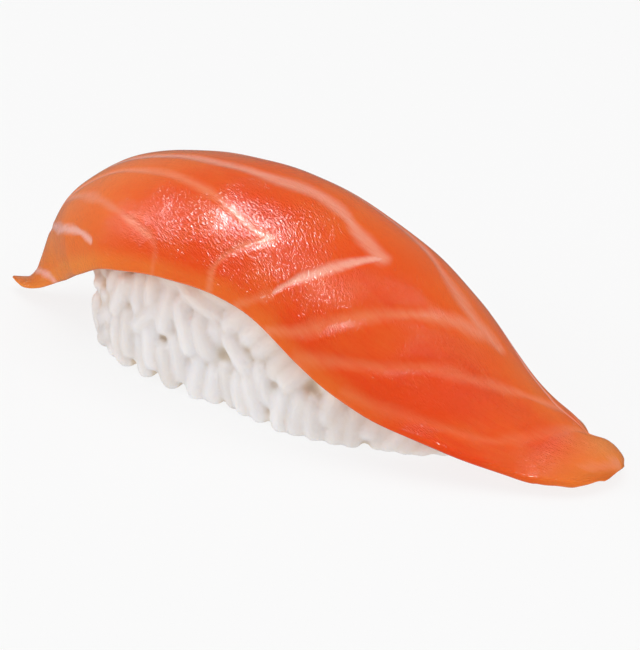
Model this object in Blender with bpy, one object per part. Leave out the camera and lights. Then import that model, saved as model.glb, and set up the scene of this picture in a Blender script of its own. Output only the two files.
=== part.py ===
# Salmon nigiri: a long slice of raw salmon laid over a hand-pressed block of cooked rice.
# Lengths are in millimetres and become metres where a mesh is made. +X runs along the
# nigiri to the broad tail of the slice, -Y is the near long side and +Z is up.

import math
import random
from collections import namedtuple

import bmesh
import bpy
import numpy as np
from mathutils import Matrix, Vector

METRES = 0.001

# The rice block: a barrel pressed by hand, rounder at its shoulder than at its foot. Its
# near side swells a little, by a share of the half width.
BLOCK_HALF_LENGTH = 28.0
BLOCK_HALF_WIDTH = 12.2
BLOCK_PLAN_POWER = 2.7
BLOCK_WIDEST_AT = 6.5
BLOCK_SHOULDER_AT = 20.0
FOOT_ROUNDING = 0.5
SHOULDER_ROUNDING = 3.2
BLOCK_SHIFT = 0.5
NEAR_SWELL = 0.11
NEAR_SWELL_AT = 9.0
NEAR_SWELL_REACH = 9.0
CORE_DEPTH = 1.9
CORE_HEIGHTS = (-2.0, 1.0, 3.0, 6.5, 11.0, 15.0, 19.0, 24.0)
CORE_POINTS_ROUND = 36

# The cooked grains, each a rod with round ends
GRAIN_LENGTH = 6.7
GRAIN_LENGTH_SPREAD = 0.6
GRAIN_RADIUS = 1.42
GRAIN_RADIUS_SPREAD = 0.1
GRAIN_SIDES = 5
GRAIN_WAIST = 1.1
GRAIN_NECK = 0.86
GRAIN_NECK_AT = 0.3
GRAIN_SQUASH = 0.3
GRAIN_SINK = 0.7
GRAIN_LEAN = math.radians(68)
GRAIN_LEAN_SPREAD = math.radians(34)
GRAINS = 124
SETTLING_STEPS = 150
FARTHEST_PUSH = 0.8
PUSH_SHARE = 0.45
DRAW_OUT = 0.3
GOLDEN_TURN = math.pi * (3 - math.sqrt(5))
SEED = 26

# The salmon slice, from its thin tip to its broad tail. A station's reach is sideways
# from the ridge to an edge, and its drop is down from the ridge to that edge.
Station = namedtuple(
    "Station", "along crown near_reach near_drop far_reach far_drop thickness"
)
STATIONS = [
    Station(-42.9, 1.6, 0.25, 0.1, 0.25, 0.1, 0.35),
    Station(-41.6, 1.8, 0.9, 0.2, 0.7, 0.2, 0.8),
    Station(-39.9, 2.5, 1.7, 0.7, 1.4, 0.9, 1.3),
    Station(-38.0, 5.0, 2.6, 2.4, 2.6, 2.2, 1.9),
    Station(-35.2, 11.6, 4.6, 6.2, 6.4, 5.0, 3.2),
    Station(-30.5, 18.0, 8.0, 8.9, 10.6, 7.0, 4.8),
    Station(-22.0, 23.2, 11.0, 9.4, 13.4, 8.8, 5.8),
    Station(-10.0, 25.4, 12.5, 9.2, 14.0, 10.0, 6.2),
    Station(3.0, 24.8, 13.1, 9.0, 14.0, 12.0, 6.2),
    Station(14.0, 21.0, 13.8, 10.2, 14.0, 12.0, 6.0),
    Station(23.0, 14.6, 13.3, 8.1, 13.2, 9.5, 5.5),
    Station(31.0, 8.4, 11.2, 3.8, 8.8, 5.2, 5.0),
    Station(37.5, 5.3, 8.5, 2.5, 5.6, 2.2, 4.2),
    Station(40.2, 4.5, 7.4, 2.0, 3.2, 1.6, 3.6),
    Station(42.3, 4.0, 6.3, 1.7, 3.9, 1.4, 3.1),
    Station(44.2, 3.4, 5.2, 1.6, 3.2, 1.2, 2.7),
    Station(45.4, 2.7, 3.6, 1.1, 2.4, 0.9, 2.1),
    Station(45.9, 2.0, 2.2, 0.6, 1.6, 0.6, 1.4),
]
EDGE_THICKNESS = 1.7
EDGE_SHARE = 0.55
EDGE_BULGE = 0.45
EDGE_TAPER = 3
STEEPEST_EDGE = math.radians(80)
ROUNDNESS = 1.15
SECTION_LEAN = 0.6
CELLS_ALONG = 52
CELLS_ACROSS = 16
FLOOR_CLEARANCE = 0.2
SLICE_CLEARANCE = 0.35
CUTTER_TOP = 40.0
FLOOR_CUTTER_SIZE = 120.0

SMOOTH_UNDER = math.radians(50)
SALMON_COLOUR = (0.76, 0.09, 0.015, 1.0)
SALMON_ROUGHNESS = 0.3
RICE_COLOUR = (0.71, 0.67, 0.64, 1.0)
RICE_ROUGHNESS = 0.45


def through_stations(at):
    """The slice's dimensions on a smooth Catmull-Rom curve through its stations."""
    rows = np.array(STATIONS, float)
    last = len(rows) - 1
    first = np.clip(np.floor(at).astype(int), 0, last - 1)
    part = (at - first)[:, None]
    before, start = rows[np.maximum(first - 1, 0)], rows[first]
    end, after = rows[first + 1], rows[np.minimum(first + 2, last)]
    return 0.5 * (
        2 * start
        + (end - before) * part
        + (2 * before - 5 * start + 4 * end - after) * part**2
        + (3 * start - before - 3 * end + after) * part**3
    )


def slice_top(at, across):
    """The upper face of the slice: one arc for each station number, from near edge to far edge."""
    size = through_stations(at)
    step = 0.05
    ahead = through_stations(np.minimum(at + step, len(STATIONS) - 1.0))
    behind = through_stations(np.maximum(at - step, 0.0))
    rise = ahead[:, :2] - behind[:, :2]
    slope = SECTION_LEAN * np.arctan2(rise[:, 1], rise[:, 0])[:, None]
    near = across < 0
    reach = np.where(near, size[:, [2]], size[:, [4]])
    drop = np.where(near, size[:, [3]], size[:, [5]])
    edge_turn = np.minimum(2 * np.arctan(ROUNDNESS * drop / reach), STEEPEST_EDGE)
    turn = np.abs(across) * edge_turn
    fall = drop * (1 - np.cos(turn)) / (1 - np.cos(edge_turn))
    x = size[:, [0]] + fall * np.sin(slope)
    y = np.sign(across) * reach * np.sin(turn) / np.sin(edge_turn)
    z = size[:, [1]] - fall * np.cos(slope)
    return np.stack([x, y, z], axis=2)


def slice_faces(clearance=0.0):
    """The upper face, the rounded rim and the under face of the slice, each a grid of points."""
    at = np.linspace(0, len(STATIONS) - 1.0, CELLS_ALONG + 1)
    across = np.linspace(-1, 1, CELLS_ACROSS + 1)
    top = slice_top(at, across)
    normal = np.cross(np.gradient(top, axis=0), np.gradient(top, axis=1))
    normal /= np.linalg.norm(normal, axis=2, keepdims=True)
    full = through_stations(at)[:, [6]]
    edge = np.minimum(full * EDGE_SHARE, EDGE_THICKNESS)
    thickness = edge + (full - edge) * (1 - np.abs(across) ** EDGE_TAPER)
    under = top - normal * (thickness + clearance)[..., None]
    middle = (top + under) / 2
    outward = middle[:, [0, -1]] - middle[:, [1, -2]]
    outward /= np.linalg.norm(outward, axis=2, keepdims=True)
    bulge = EDGE_BULGE * thickness[:, [0, -1]] + clearance
    rim = middle[:, [0, -1]] + outward * bulge[..., None]
    if not clearance:
        for grid in (top, rim, under):
            grid[..., 2] = np.maximum(grid[..., 2], FLOOR_CLEARANCE)
    return top, rim, under


def object_from(mesh, name):
    """An object made from a bmesh, in triangles that face out."""
    bmesh.ops.triangulate(mesh, faces=mesh.faces)
    bmesh.ops.recalc_face_normals(mesh, faces=mesh.faces)
    data = bpy.data.meshes.new(name)
    mesh.to_mesh(data)
    mesh.free()
    result = bpy.data.objects.new(name, data)
    bpy.context.scene.collection.objects.link(result)
    return result


def bridge_rings(mesh, rings):
    """Closed rings of points joined into one tube."""
    rows = [[mesh.verts.new(Vector(point) * METRES) for point in ring] for ring in rings]
    for first, second in zip(rows, rows[1:]):
        for j in range(len(first)):
            k = (j + 1) % len(first)
            mesh.faces.new((first[j], first[k], second[k], second[j]))
    return rows


def close_with_fan(mesh, row, middle):
    """An end of a tube closed round one point."""
    point = mesh.verts.new(middle)
    for j in range(len(row)):
        mesh.faces.new((row[j], row[(j + 1) % len(row)], point))


def body_round_sections(name, top, rim, under):
    """One closed body from a ring of points round each cross-section."""
    mesh = bmesh.new()
    rings = [
        [*upper, sides[1], *lower[::-1], sides[0]] for upper, sides, lower in zip(top, rim, under)
    ]
    rows = bridge_rings(mesh, rings)
    for row in (rows[0], rows[-1]):
        close_with_fan(mesh, row, sum((vert.co for vert in row), Vector()) / len(row))
    return object_from(mesh, name)


def space_over_block(name):
    """All that is above the underside of the slice and its clearance, where no rice goes."""
    top, rim, under = slice_faces(SLICE_CLEARANCE)
    top[..., 2] = CUTTER_TOP
    return body_round_sections(name, top, rim, under)


def space_under_floor(name):
    """A slab below the floor, which cuts the foot of the rice flat."""
    mesh = bmesh.new()
    size = FLOOR_CUTTER_SIZE * METRES
    place = Matrix.Translation((0, 0, -size / 2)) @ Matrix.Scale(size, 4)
    bmesh.ops.create_cube(mesh, size=1, matrix=place)
    return object_from(mesh, name)


def block_inset(z):
    """How far the block's side stands in from its widest line, at a height."""
    low = np.clip(1 - z / BLOCK_WIDEST_AT, 0, 1)
    high = np.clip((z - BLOCK_WIDEST_AT) / (BLOCK_SHOULDER_AT - BLOCK_WIDEST_AT), 0, 1.3)
    return FOOT_ROUNDING * low**2.5 + SHOULDER_ROUNDING * high**2


def near_swell(x, y):
    """How much wider the block is here than its plain plan: more than 1 on the near side alone."""
    share = NEAR_SWELL * np.exp(-(((x - NEAR_SWELL_AT) / NEAR_SWELL_REACH) ** 2))
    return 1 + np.where(y < 0, share, 0)


def on_block(turn, height, inset):
    """A point at a turn round the block's plan, at a height and a distance in from its side."""
    power = 2 / BLOCK_PLAN_POWER
    plan_x = math.copysign(abs(math.cos(turn)) ** power, math.cos(turn))
    plan_y = math.copysign(abs(math.sin(turn)) ** power, math.sin(turn))
    inset = inset + float(block_inset(height))
    x = BLOCK_SHIFT + plan_x * (BLOCK_HALF_LENGTH - inset)
    y = plan_y * (BLOCK_HALF_WIDTH - inset) * near_swell(x, plan_y)
    return np.array([x, float(y), height])


def block_share(points):
    """0 on the block's axis and 1 on its side."""
    inset = block_inset(points[:, 2])
    x = np.abs(points[:, 0] - BLOCK_SHIFT) / (BLOCK_HALF_LENGTH - inset)
    y = np.abs(points[:, 1]) / (BLOCK_HALF_WIDTH - inset)
    y = y / near_swell(points[:, 0], points[:, 1])
    return (x**BLOCK_PLAN_POWER + y**BLOCK_PLAN_POWER) ** (1 / BLOCK_PLAN_POWER)


def block_depth(points):
    """How deep each point lies under the block's side, and the way out."""
    step = 0.05
    slope = np.stack(
        [
            (block_share(points + shift) - block_share(points - shift)) / (2 * step)
            for shift in np.eye(3) * step
        ],
        axis=1,
    )
    steepness = np.maximum(np.linalg.norm(slope, axis=1), 1e-3)
    return (1 - block_share(points)) / steepness, slope / steepness[:, None]


def grain_places(draw):
    """Where the grains start: round the block's side, up to the edge of the slice."""
    edges = slice_faces()[0][:, [0, -1]]
    ends, radii = [], []
    for number in range(GRAINS):
        radius = GRAIN_RADIUS + draw.uniform(-1, 1) * GRAIN_RADIUS_SPREAD
        length = GRAIN_LENGTH + draw.uniform(-1, 1) * GRAIN_LENGTH_SPREAD
        turn = (number * GOLDEN_TURN) % (2 * math.pi)
        foot = on_block(turn, radius, radius)
        far = int(math.sin(turn) > 0)
        highest = np.interp(foot[0], edges[:, far, 0], edges[:, far, 2])
        height = draw.uniform(radius, max(highest, 2 * radius))
        centre = on_block(turn, height, radius)
        level = on_block(turn + 0.05, height, radius) - centre
        level /= np.linalg.norm(level)
        lean = draw.gauss(GRAIN_LEAN, GRAIN_LEAN_SPREAD)
        way = level * math.cos(lean) + np.array([0.0, 0.0, 1.0]) * math.sin(lean)
        half = way * (length / 2 - radius)
        ends.append((centre - half, centre + half))
        radii.append(radius)
    return np.array(ends), np.array(radii)


def nearest_on_pair(a0, a1, b0, b1):
    """How far along two rods they come closest, as shares of each."""
    u, v, w = a1 - a0, b1 - b0, a0 - b0
    uu, vv = (u * u).sum(1), (v * v).sum(1)
    uv, uw, vw = (u * v).sum(1), (u * w).sum(1), (v * w).sum(1)
    s = np.clip((uv * vw - vv * uw) / np.maximum(uu * vv - uv * uv, 1e-6), 0, 1)
    t = np.clip((uv * s + vw) / vv, 0, 1)
    return np.clip((uv * t - uw) / uu, 0, 1)[:, None], t[:, None]


def push_apart(ends, radius):
    """Moves the rods that press into each other apart, most where they touch."""
    first, second = np.triu_indices(len(ends), 1)
    s, t = nearest_on_pair(ends[first, 0], ends[first, 1], ends[second, 0], ends[second, 1])
    on_first = ends[first, 0] * (1 - s) + ends[first, 1] * s
    on_second = ends[second, 0] * (1 - t) + ends[second, 1] * t
    gap = on_first - on_second
    apart = np.maximum(np.linalg.norm(gap, axis=1, keepdims=True), 1e-4)
    reach = (radius[first] + radius[second] - GRAIN_SQUASH)[:, None]
    push = PUSH_SHARE * np.maximum(reach - apart, 0) * gap / apart
    move = np.zeros_like(ends)
    np.add.at(move[:, 0], first, push * (1 - s))
    np.add.at(move[:, 1], first, push * s)
    np.add.at(move[:, 0], second, -push * (1 - t))
    np.add.at(move[:, 1], second, -push * t)
    size = np.maximum(np.linalg.norm(move, axis=2, keepdims=True), 1e-6)
    return ends + move * np.minimum(1, FARTHEST_PUSH / size)


def push_from_slice(ends, radius, balls, ball_radius):
    """Moves the rods out of the slice, which is taken as balls along its middle."""
    for share in (0.0, 0.5, 1.0):
        point = ends[:, 0] * (1 - share) + ends[:, 1] * share
        away = point[:, None] - balls[None]
        distance = np.linalg.norm(away, axis=2)
        clear = distance - ball_radius[None]
        rows, worst = np.arange(len(point)), clear.argmin(axis=1)
        need = np.maximum(radius + SLICE_CLEARANCE - clear[rows, worst], 0)
        ends = ends + (away[rows, worst] * (need / distance[rows, worst])[:, None])[:, None]
    return ends


def settled_grains():
    """Packs the grains as a hand does: off their neighbours, into the block, out from the slice."""
    draw = random.Random(SEED)
    ends, radius = grain_places(draw)
    length = np.linalg.norm(ends[:, 1] - ends[:, 0], axis=1)
    sink = np.array([[draw.uniform(0, GRAIN_SINK) for _ in range(2)] for _ in radius])
    top, _, under = slice_faces()
    balls = ((top + under) / 2).reshape(-1, 3)
    ball_radius = (np.linalg.norm(top - under, axis=2) / 2).reshape(-1)
    for _ in range(SETTLING_STEPS):
        ends = push_apart(ends, radius)
        ends = push_from_slice(ends, radius, balls, ball_radius)
        for end in (0, 1):
            depth, out = block_depth(ends[:, end])
            short = radius + sink[:, end] - depth
            draw_out = DRAW_OUT * np.clip(short, -1, 0)
            ends[:, end] -= out * np.where(short > 0, short, draw_out)[:, None]
            ends[:, end, 2] = np.maximum(ends[:, end, 2], radius - GRAIN_SQUASH)
        middle = ends.mean(axis=1, keepdims=True)
        size = np.linalg.norm(ends[:, 1] - ends[:, 0], axis=1)
        ends = middle + (ends - middle) * (length / size)[:, None, None]
    return ends, radius


def grain_object(name, ends, radius):
    """A grain with few sides: three rings, and a point at each end."""
    start, end = (Vector(point) for point in ends)
    way = (end - start).normalized()
    side = way.orthogonal().normalized()
    up = way.cross(side)
    turns = [2 * math.pi * k / GRAIN_SIDES for k in range(GRAIN_SIDES)]
    spokes = [(math.cos(turn) * side + math.sin(turn) * up) * radius for turn in turns]
    neck = way * (GRAIN_NECK_AT * radius)
    rings = []
    for centre, share in (
        (start - neck, GRAIN_NECK),
        ((start + end) / 2, GRAIN_WAIST),
        (end + neck, GRAIN_NECK),
    ):
        rings.append([centre + spoke * share for spoke in spokes])
    mesh = bmesh.new()
    rows = bridge_rings(mesh, rings)
    close_with_fan(mesh, rows[0], (start - way * radius) * METRES)
    close_with_fan(mesh, rows[-1], (end + way * radius) * METRES)
    return object_from(mesh, name)


def core_object(name):
    """The packed inside of the block, which the grains that show are fused on to."""
    turns = [2 * math.pi * k / CORE_POINTS_ROUND for k in range(CORE_POINTS_ROUND)]
    rings = [[on_block(turn, height, CORE_DEPTH) for turn in turns] for height in CORE_HEIGHTS]
    mesh = bmesh.new()
    rows = bridge_rings(mesh, rings)
    mesh.faces.new(rows[0])
    mesh.faces.new(rows[-1])
    return object_from(mesh, name)


def join_and_cut(target, added, removed):
    """One union with the added objects and one cut by the removed ones, both applied."""
    for operation, operands in (("UNION", added), ("DIFFERENCE", removed)):
        group = bpy.data.collections.new(operation.title())
        for operand in operands:
            group.objects.link(operand)
        boolean = target.modifiers.new(operation.title(), "BOOLEAN")
        boolean.operation = operation
        boolean.operand_type = "COLLECTION"
        boolean.collection = group
        boolean.solver = "EXACT"
    bpy.context.view_layer.update()
    evaluated = target.evaluated_get(bpy.context.evaluated_depsgraph_get())
    target.data = bpy.data.meshes.new_from_object(evaluated)
    target.modifiers.clear()
    for operand in (*added, *removed):
        bpy.data.objects.remove(operand)


def keep_largest_shell(target):
    """Drops loose scraps and fills sealed hollows, which are shells apart from the main one."""
    mesh = bmesh.new()
    mesh.from_mesh(target.data)
    waiting = set(mesh.faces)
    shells = []
    while waiting:
        front = [waiting.pop()]
        shell = list(front)
        while front:
            around = {other for edge in front.pop().edges for other in edge.link_faces}
            found = around & waiting
            waiting -= found
            front.extend(found)
            shell.extend(found)
        shells.append(shell)
    shells.sort(key=len)
    for shell in shells[:-1]:
        bmesh.ops.delete(mesh, geom=shell, context="FACES")
    mesh.to_mesh(target.data)
    mesh.free()


def rice_object(name):
    """The rice: core and grains in one body, cut flat at the foot and clear of the slice."""
    ends, radius = settled_grains()
    core = core_object(name)
    grains = [grain_object("grain", *rod) for rod in zip(ends, radius)]
    join_and_cut(core, grains, [space_over_block("over"), space_under_floor("under")])
    keep_largest_shell(core)
    return core


def centre_on_floor(objects):
    """Moves the objects together, so that their joint box is centred over the origin."""
    corners = np.array([vert.co for item in objects for vert in item.data.vertices])
    low, high = corners.min(axis=0), corners.max(axis=0)
    shift = Vector((-(low[0] + high[0]) / 2, -(low[1] + high[1]) / 2, -low[2]))
    for item in objects:
        item.data.transform(Matrix.Translation(shift))


def give_material(target, colour, roughness):
    """A plain surface of one colour, with smooth shading over the gentle edges."""
    material = bpy.data.materials.new(target.name)
    material.use_nodes = True
    surface = material.node_tree.nodes["Principled BSDF"]
    surface.inputs["Base Color"].default_value = colour
    surface.inputs["Roughness"].default_value = roughness
    surface.inputs["Metallic"].default_value = 0.0
    target.data.materials.clear()
    target.data.materials.append(material)
    target.data.shade_smooth()
    target.data.set_sharp_from_angle(angle=SMOOTH_UNDER)


def main():
    for item in list(bpy.data.objects):
        bpy.data.objects.remove(item)
    salmon = body_round_sections("salmon", *slice_faces())
    rice = rice_object("rice")
    centre_on_floor([salmon, rice])
    give_material(salmon, SALMON_COLOUR, SALMON_ROUGHNESS)
    give_material(rice, RICE_COLOUR, RICE_ROUGHNESS)


main()
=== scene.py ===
# Salmon nigiri: the looks. A slice of raw salmon with its fat lines and wet shine, over a
# block of real grains of rice. Sizes are in millimetres until a mesh is made from them.
import math
import random

import bpy
import numpy as np
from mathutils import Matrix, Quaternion, Vector, noise


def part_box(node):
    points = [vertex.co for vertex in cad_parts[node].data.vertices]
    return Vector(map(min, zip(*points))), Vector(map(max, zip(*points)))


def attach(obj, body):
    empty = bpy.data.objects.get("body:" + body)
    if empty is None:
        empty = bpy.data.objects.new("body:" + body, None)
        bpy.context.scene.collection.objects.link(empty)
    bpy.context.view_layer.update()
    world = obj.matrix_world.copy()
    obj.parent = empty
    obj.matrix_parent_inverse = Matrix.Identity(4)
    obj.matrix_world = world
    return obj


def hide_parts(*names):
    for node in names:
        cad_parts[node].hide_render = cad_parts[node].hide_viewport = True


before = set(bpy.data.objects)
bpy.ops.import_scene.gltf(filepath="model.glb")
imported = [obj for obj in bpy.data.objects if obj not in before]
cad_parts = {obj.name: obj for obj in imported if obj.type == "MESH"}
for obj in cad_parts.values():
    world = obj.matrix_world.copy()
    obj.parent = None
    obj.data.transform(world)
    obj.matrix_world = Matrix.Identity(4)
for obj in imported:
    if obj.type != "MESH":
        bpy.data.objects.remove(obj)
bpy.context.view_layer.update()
mm = 0.001

# The slice from its thin tip to its broad tail. Each station gives the place of the ridge
# along and up, the reach and drop of the near edge and of the far edge, and the thickness.
sliceForm = {
    "stations": [
        (-42.9, 1.6, 0.25, 0.1, 0.25, 0.1, 0.35),
        (-41.6, 1.8, 0.9, 0.2, 0.7, 0.2, 0.8),
        (-39.9, 2.5, 1.7, 0.7, 1.4, 0.9, 1.3),
        (-38.0, 5.0, 2.6, 2.4, 2.6, 2.2, 1.9),
        (-35.2, 11.6, 4.6, 6.2, 6.4, 5.0, 3.2),
        (-30.5, 18.0, 8.0, 8.9, 10.6, 7.0, 4.8),
        (-22.0, 23.2, 11.0, 9.4, 13.4, 8.8, 5.8),
        (-10.0, 25.4, 12.5, 9.2, 14.0, 10.0, 6.2),
        (3.0, 24.8, 13.1, 9.0, 14.0, 12.0, 6.2),
        (14.0, 21.0, 13.8, 10.2, 14.0, 12.0, 6.0),
        (23.0, 14.6, 13.3, 8.1, 13.2, 9.5, 5.5),
        (31.0, 8.4, 11.2, 3.8, 8.8, 5.2, 5.0),
        (37.5, 5.3, 8.5, 2.5, 5.6, 2.2, 4.2),
        (40.2, 4.5, 7.4, 2.0, 3.2, 1.6, 3.6),
        (42.3, 4.0, 6.3, 1.7, 3.9, 1.4, 3.1),
        (44.2, 3.4, 5.2, 1.6, 3.2, 1.2, 2.7),
        (45.4, 2.7, 3.6, 1.1, 2.4, 0.9, 2.1),
        (45.9, 2.0, 2.2, 0.6, 1.6, 0.6, 1.4),
    ],
    "edgeThickness": 1.7,
    "edgeShare": 0.55,
    "edgeBulge": 0.45,
    "edgeTaper": 3,
    "steepestEdge": math.radians(80),
    "roundness": 1.15,
    "sectionLean": 0.6,
    "floorClearance": 0.2,
    "roughAlong": 53,
    "roughAcross": 17,
    "fineAlong": 3001,
    "cellsAlong": 460,
    "cellsOver": 132,
    "cellsUnder": 28,
    "rimSteps": 5,
    "endShare": 0.7,
    "endReach": 0.10,
    "tipReach": 0.14,
    "grooveDepth": 0.11,
    "swellHeight": 0.10,
    "reliefTaper": 6,
    "fullReliefAt": 3,
    "wobble": 0.16,
    "wobbleLength": 7.0,
    "wobbleFrom": (17.3, 5.1, 9.7),
    "wobbleSeed": 1,
}
lastStation = len(sliceForm["stations"]) - 1.0


def catmullRom(before, start, end, after, part):
    return 0.5 * (
        2 * start
        + (end - before) * part
        + (2 * before - 5 * start + 4 * end - after) * part**2
        + (3 * start - before - 3 * end + after) * part**3
    )


def throughStations(at):
    rows = np.array(sliceForm["stations"])
    last = len(rows) - 1
    first = np.clip(np.floor(at).astype(int), 0, last - 1)
    part = (at - first)[:, None]
    before, after = rows[np.maximum(first - 1, 0)], rows[np.minimum(first + 2, last)]
    return catmullRom(before, rows[first], rows[first + 1], after, part)


def sliceTop(at, across):
    size = throughStations(at)
    step = 0.05
    ahead = throughStations(np.minimum(at + step, lastStation))
    behind = throughStations(np.maximum(at - step, 0.0))
    rise = ahead[:, :2] - behind[:, :2]
    slope = sliceForm["sectionLean"] * np.arctan2(rise[:, 1], rise[:, 0])[:, None]
    near = across < 0
    reach = np.where(near, size[:, [2]], size[:, [4]])
    drop = np.where(near, size[:, [3]], size[:, [5]])
    edgeTurn = 2 * np.arctan(sliceForm["roundness"] * drop / reach)
    edgeTurn = np.minimum(edgeTurn, sliceForm["steepestEdge"])
    turn = np.abs(across) * edgeTurn
    fall = drop * (1 - np.cos(turn)) / (1 - np.cos(edgeTurn))
    x = size[:, [0]] + fall * np.sin(slope)
    y = np.sign(across) * reach * np.sin(turn) / np.sin(edgeTurn)
    z = size[:, [1]] - fall * np.cos(slope)
    return np.stack([x, y, z], axis=2)


def normalsOf(grid):
    normal = np.cross(np.gradient(grid, axis=0), np.gradient(grid, axis=1))
    return normal / np.linalg.norm(normal, axis=2, keepdims=True)


def sliceFaces(at, across):
    top = sliceTop(at, across)
    full = throughStations(at)[:, [6]]
    edge = np.minimum(full * sliceForm["edgeShare"], sliceForm["edgeThickness"])
    thickness = edge + (full - edge) * (1 - np.abs(across) ** sliceForm["edgeTaper"])
    under = top - normalsOf(top) * thickness[..., None]
    return top, under, thickness


def sliceEdges():
    # Points along the near edge and along the far edge
    at = np.linspace(0, lastStation, sliceForm["roughAlong"])
    return sliceTop(at, np.array([-1.0, 1.0]))


def edgeHeight(edges, x, side):
    # How high the near edge (0) or the far edge (1) hangs at that place
    return np.interp(x, edges[:, side, 0], edges[:, side, 2])


def cadShift():
    # How far the frame's slice lies from the same slice at its own stations
    at = np.linspace(0, lastStation, sliceForm["roughAlong"])
    top = sliceTop(at, np.linspace(-1, 1, sliceForm["roughAcross"]))
    edges = sliceEdges()
    low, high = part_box("salmon")
    alongMiddle = (top[..., 0].min() + top[..., 0].max()) / 2
    acrossMiddle = (edges[:, 0, 1].min() + edges[:, 1, 1].max()) / 2
    return np.array([
        (low[0] + high[0]) / 2 / mm - alongMiddle,
        (low[1] + high[1]) / 2 / mm - acrossMiddle,
        0.0,
    ])


def ridgeLengths():
    # Stations in fine steps, their places along the floor and along the ridge
    fine = np.linspace(0, lastStation, sliceForm["fineAlong"])
    ridge = throughStations(fine)[:, :2]
    steps = np.linalg.norm(np.diff(ridge, axis=0), axis=1)
    return fine, ridge[:, 0], np.concatenate([[0], np.cumsum(steps)])


def stationsEvenly(cells):
    fine, _, length = ridgeLengths()
    return np.interp(np.linspace(0, length[-1], cells + 1), length, fine)


def lengthAlong(x):
    # Place along the ridge in mm, for a place along the floor
    _, places, length = ridgeLengths()
    return np.interp(x, np.maximum.accumulate(places), length)


def smoothCurve(points, steps):
    # A curve through given points
    points = np.array(points, float)
    points = np.vstack([2 * points[0] - points[1], points, 2 * points[-1] - points[-2]])
    found = []
    for i in range(1, len(points) - 2):
        for part in np.arange(steps) / steps:
            found.append(catmullRom(*points[i - 1:i + 3], part))
    found.append(points[-2])
    return np.array(found)


def wobbled(points):
    # Points moved by smooth noise, the same way each run
    noise.seed_set(sliceForm["wobbleSeed"])
    start = Vector(sliceForm["wobbleFrom"])
    moved = np.empty_like(points)
    for i, point in enumerate(points):
        moved[i] = noise.noise_vector(Vector(point) / sliceForm["wobbleLength"] + start)
    return points + sliceForm["wobble"] * moved


# Nodes written as expressions, and what every piece needs

def operator(operation):
    # An operator and its reflected form, for a number on its left
    def plain(self, other):
        return self.calc(operation, self, other)

    def reflected(self, other):
        return self.calc(operation, other, self)

    return plain, reflected


class Wire:
    # A node's output that takes + - * / and **
    __add__, __radd__ = operator("ADD")
    __sub__, __rsub__ = operator("SUBTRACT")
    __mul__, __rmul__ = operator("MULTIPLY")
    __truediv__, __rtruediv__ = operator("DIVIDE")
    __pow__, __rpow__ = operator("POWER")

    def __init__(self, board, socket):
        self.board, self.socket = board, socket

    def calc(self, operation, *values):
        sockets = dict(enumerate(values))
        return self.board.add("ShaderNodeMath", {"operation": operation}, sockets)

    def clipped(self):
        return self.calc("MAXIMUM", self.calc("MINIMUM", self, 1.0), 0.0)

    def between(self, low, high):
        # 0 at low, 1 at high, smooth in between
        part = ((self - low) / (high - low)).clipped()
        return part * part * (3.0 - 2.0 * part)


class Board:
    # A node tree that is written as expressions
    def __init__(self, tree):
        self.tree = tree

    def add(self, kind, settings=None, sockets=None, out=0):
        node = self.tree.nodes.new(kind)
        for name, value in (settings or {}).items():
            setattr(node, name, value)
        for key, value in (sockets or {}).items():
            self.plug(node.inputs[key], value)
        return Wire(self, node.outputs[out])

    def plug(self, socket, value):
        if isinstance(value, Wire):
            self.tree.links.new(value.socket, socket)
        elif socket.type == "RGBA" and len(value) == 3:
            socket.default_value = (*value, 1.0)
        else:
            socket.default_value = value

    def mixed(self, share, first, second):
        settings = {"data_type": "RGBA", "blend_type": "MIX"}
        return self.add("ShaderNodeMix", settings, {0: share, 6: first, 7: second}, 2)

    def noise(self, where, scale, detail=3.0, roughness=0.5, distortion=0.0):
        sockets = {"Vector": where, "Scale": scale, "Detail": detail}
        sockets.update({"Roughness": roughness, "Distortion": distortion})
        return self.add("ShaderNodeTexNoise", {}, sockets)

    def fields(self, *names):
        # The numbers that the mesh carries under these names
        kind = "ShaderNodeAttribute"
        return [self.add(kind, {"attribute_name": name}, {}, 2) for name in names]

    def vector(self, operation, sockets):
        return self.add("ShaderNodeVectorMath", {"operation": operation}, sockets)

    def stretched(self, where, length, width, turn=0.0):
        # Cells of that length and width in mm, turned off the way along
        sockets = {"Vector": where, "Scale": (length, width, 1.0), "Rotation": (0.0, 0.0, turn)}
        return self.add("ShaderNodeMapping", {"vector_type": "TEXTURE"}, sockets)

    def bent(self, where, scale, amount):
        # The place moved by slow noise, so that a pattern on it doesn't run straight
        sockets = {"Vector": where, "Scale": scale, "Detail": 1.0}
        drift = self.add("ShaderNodeTexNoise", {}, sockets, 1)
        size, centre = (amount, amount, 0.0), (-amount / 2, -amount / 2, 0.0)
        drift = self.vector("MULTIPLY_ADD", {0: drift, 1: size, 2: centre})
        return self.vector("ADD", {0: where, 1: drift})

    def bump(self, depth, height):
        sockets = {"Strength": 1.0, "Distance": depth, "Height": height}
        return self.add("ShaderNodeBump", {}, sockets)


def newMaterial(name, values):
    material = bpy.data.materials.new(name)
    material.use_nodes = True
    shader = material.node_tree.nodes["Principled BSDF"]
    board = Board(material.node_tree)
    for socket, value in values.items():
        board.plug(shader.inputs[socket], value)
    return material, board, shader


def newObject(name, data):
    made = bpy.data.objects.new(name, data)
    bpy.context.scene.collection.objects.link(made)
    return made


def addFields(data, fields):
    # One number for each vertex under each name, for a material to read
    for name, values in fields.items():
        attribute = data.attributes.new(name, "FLOAT", "POINT")
        attribute.data.foreach_set("value", np.asarray(values, np.float32))


# The salmon slice

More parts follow.
